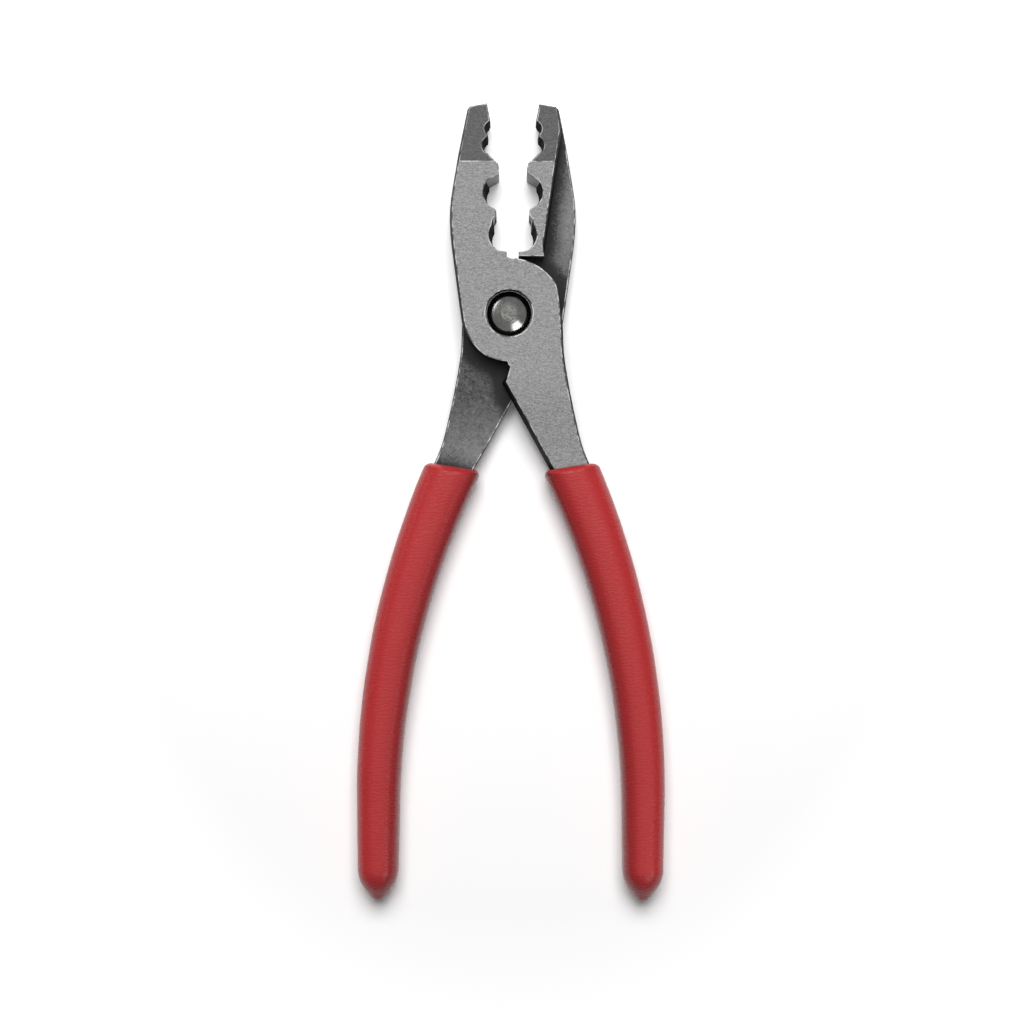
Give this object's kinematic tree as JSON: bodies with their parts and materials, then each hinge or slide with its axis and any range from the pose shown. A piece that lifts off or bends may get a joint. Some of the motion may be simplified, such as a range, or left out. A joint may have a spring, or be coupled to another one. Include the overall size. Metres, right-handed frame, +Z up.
{
  "type": "connector pliers",
  "caption": "Riveted lap-joint hand pliers whose jaws have round and stepped nests for pressing wire connectors, with bowed handles in dipped vinyl grips.",
  "frame": {"origin": "middle of the footprint, on the surface that the tool lies on", "axes": "+Y along the tool towards the jaw tips, +X across it, +Z up through the joint, front face upwards"},
  "size_m": [0.0788, 0.2034, 0.012],
  "materials": {
    "forged_steel": "ground faces, dark forged edges",
    "rivet_steel": "polished dome",
    "red_vinyl": "dipped soft vinyl, satin"
  },
  "bodies": {
    "rear_half": {"rear_half": "forged_steel", "left_grip": "red_vinyl", "pivot_rivet": "rivet_steel"},
    "front_half": {"front_half": "forged_steel", "right_grip": "red_vinyl"}
  },
  "joints": [
    {"name": "rivet_pivot", "type": "hinge", "parent": "rear_half", "child": "front_half", "pos_m": [-0.00085, 0.0479, 0.006], "axis": [0, 0, -1], "range_deg": [-45, 10.5]}
  ]
}
